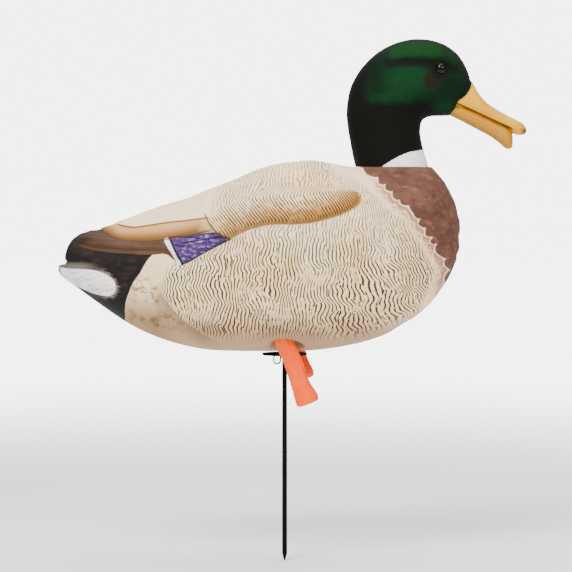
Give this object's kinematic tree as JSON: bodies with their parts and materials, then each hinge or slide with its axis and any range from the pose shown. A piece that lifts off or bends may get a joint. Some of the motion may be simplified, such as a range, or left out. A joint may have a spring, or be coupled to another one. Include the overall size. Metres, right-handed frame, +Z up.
{
  "type": "duck decoy",
  "caption": "Full-body mallard drake field decoy that rocks and turns on a pointed ground stake, with a head that turns and plug-in legs.",
  "frame": {"origin": "on the stake's axis at the ground line, where the stake's buried part ends", "axes": "+X forward towards the bill, +Y to the bird's left, +Z up along the stake"},
  "size_m": [0.4652, 0.1728, 0.5221],
  "materials": {
    "body_plastic": "painted feather pattern, matt",
    "flocked_head": "flocked, velvety",
    "bill_plastic": "satin",
    "leg_plastic": "satin, scaly",
    "eye_plastic": "glossy",
    "stake_paint": "black, satin",
    "bright_steel": "bright zinc",
    "white_nylon": "natural nylon",
    "black_plastic": "moulded, satin"
  },
  "bodies": {
    "stake": {"stake_rod": "stake_paint", "stop_plate": "stake_paint", "plate_retainer": "bright_steel", "tether_loop": "stake_paint"},
    "swivel": {"swivel_cap": "white_nylon"},
    "decoy": {"body_shell": "body_plastic", "motion_tower": "black_plastic", "belly_grommet": "black_plastic", "pivot_pin": "bright_steel", "tower_screws": "bright_steel", "neck_lock_ring": "black_plastic", "lock_ring_screws": "bright_steel", "right_leg": "leg_plastic", "left_leg": "leg_plastic", "leg_clips": "bright_steel"},
    "head": {"head_shell": "flocked_head", "bill": "bill_plastic", "right_eye": "eye_plastic", "left_eye": "eye_plastic", "neck_plug": "white_nylon", "neck_plug_screws": "bright_steel"}
  },
  "joints": [
    {"name": "body_swivel", "type": "hinge", "parent": "stake", "child": "swivel", "pos_m": [0, 0, 0.2079], "axis": [0, 0, 1], "continuous": true},
    {"name": "body_rock", "type": "hinge", "parent": "swivel", "child": "decoy", "pos_m": [0, 0, 0.215], "axis": [0, 1, 0], "range_deg": [-3, 3]},
    {"name": "head_turn", "type": "hinge", "parent": "decoy", "child": "head", "pos_m": [0.107, 0, 0.2403], "axis": [0, 0, 1], "range_deg": [-70, 70]}
  ]
}
